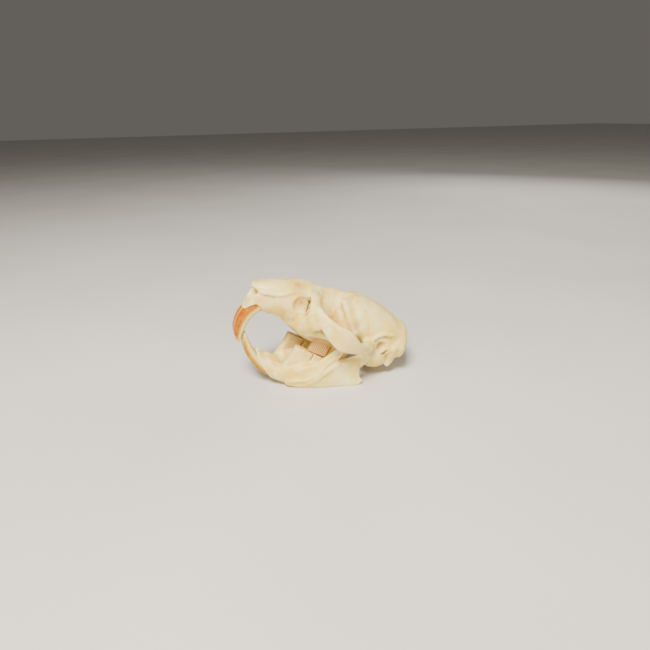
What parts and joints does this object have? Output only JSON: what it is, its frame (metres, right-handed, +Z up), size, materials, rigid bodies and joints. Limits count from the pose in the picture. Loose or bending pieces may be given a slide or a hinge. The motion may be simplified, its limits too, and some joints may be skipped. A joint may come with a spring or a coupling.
{
  "type": "muskrat skull",
  "caption": "Muskrat skull with its lower jaw closed, a dry bone specimen with orange upper incisors, ridged cheek teeth and bowed cheek arches.",
  "frame": {"origin": "centre of the model's box, on the surface that it rests on", "axes": "+X to the back of the skull, so that the snout points to -X, +Y to the animal's right, +Z up"},
  "size_m": [0.0638, 0.0418, 0.038],
  "materials": {
    "bone": "dry cleaned bone, ivory with honey and pink tints, satin",
    "upper_enamel": "orange incisor enamel, smooth and glossy",
    "lower_enamel": "amber incisor enamel, smooth and glossy"
  },
  "bodies": {
    "root": {"rostrum": "bone", "cranium": "bone", "occiput": "bone", "zygomatic_arch_left": "bone", "zygomatic_arch_right": "bone", "auditory_bulla_left": "bone", "auditory_bulla_right": "bone", "mandible_left": "bone", "mandible_right": "bone", "upper_incisor_left": "upper_enamel", "upper_incisor_right": "upper_enamel", "lower_incisor_left": "lower_enamel", "lower_incisor_right": "lower_enamel"}
  },
  "joints": []
}
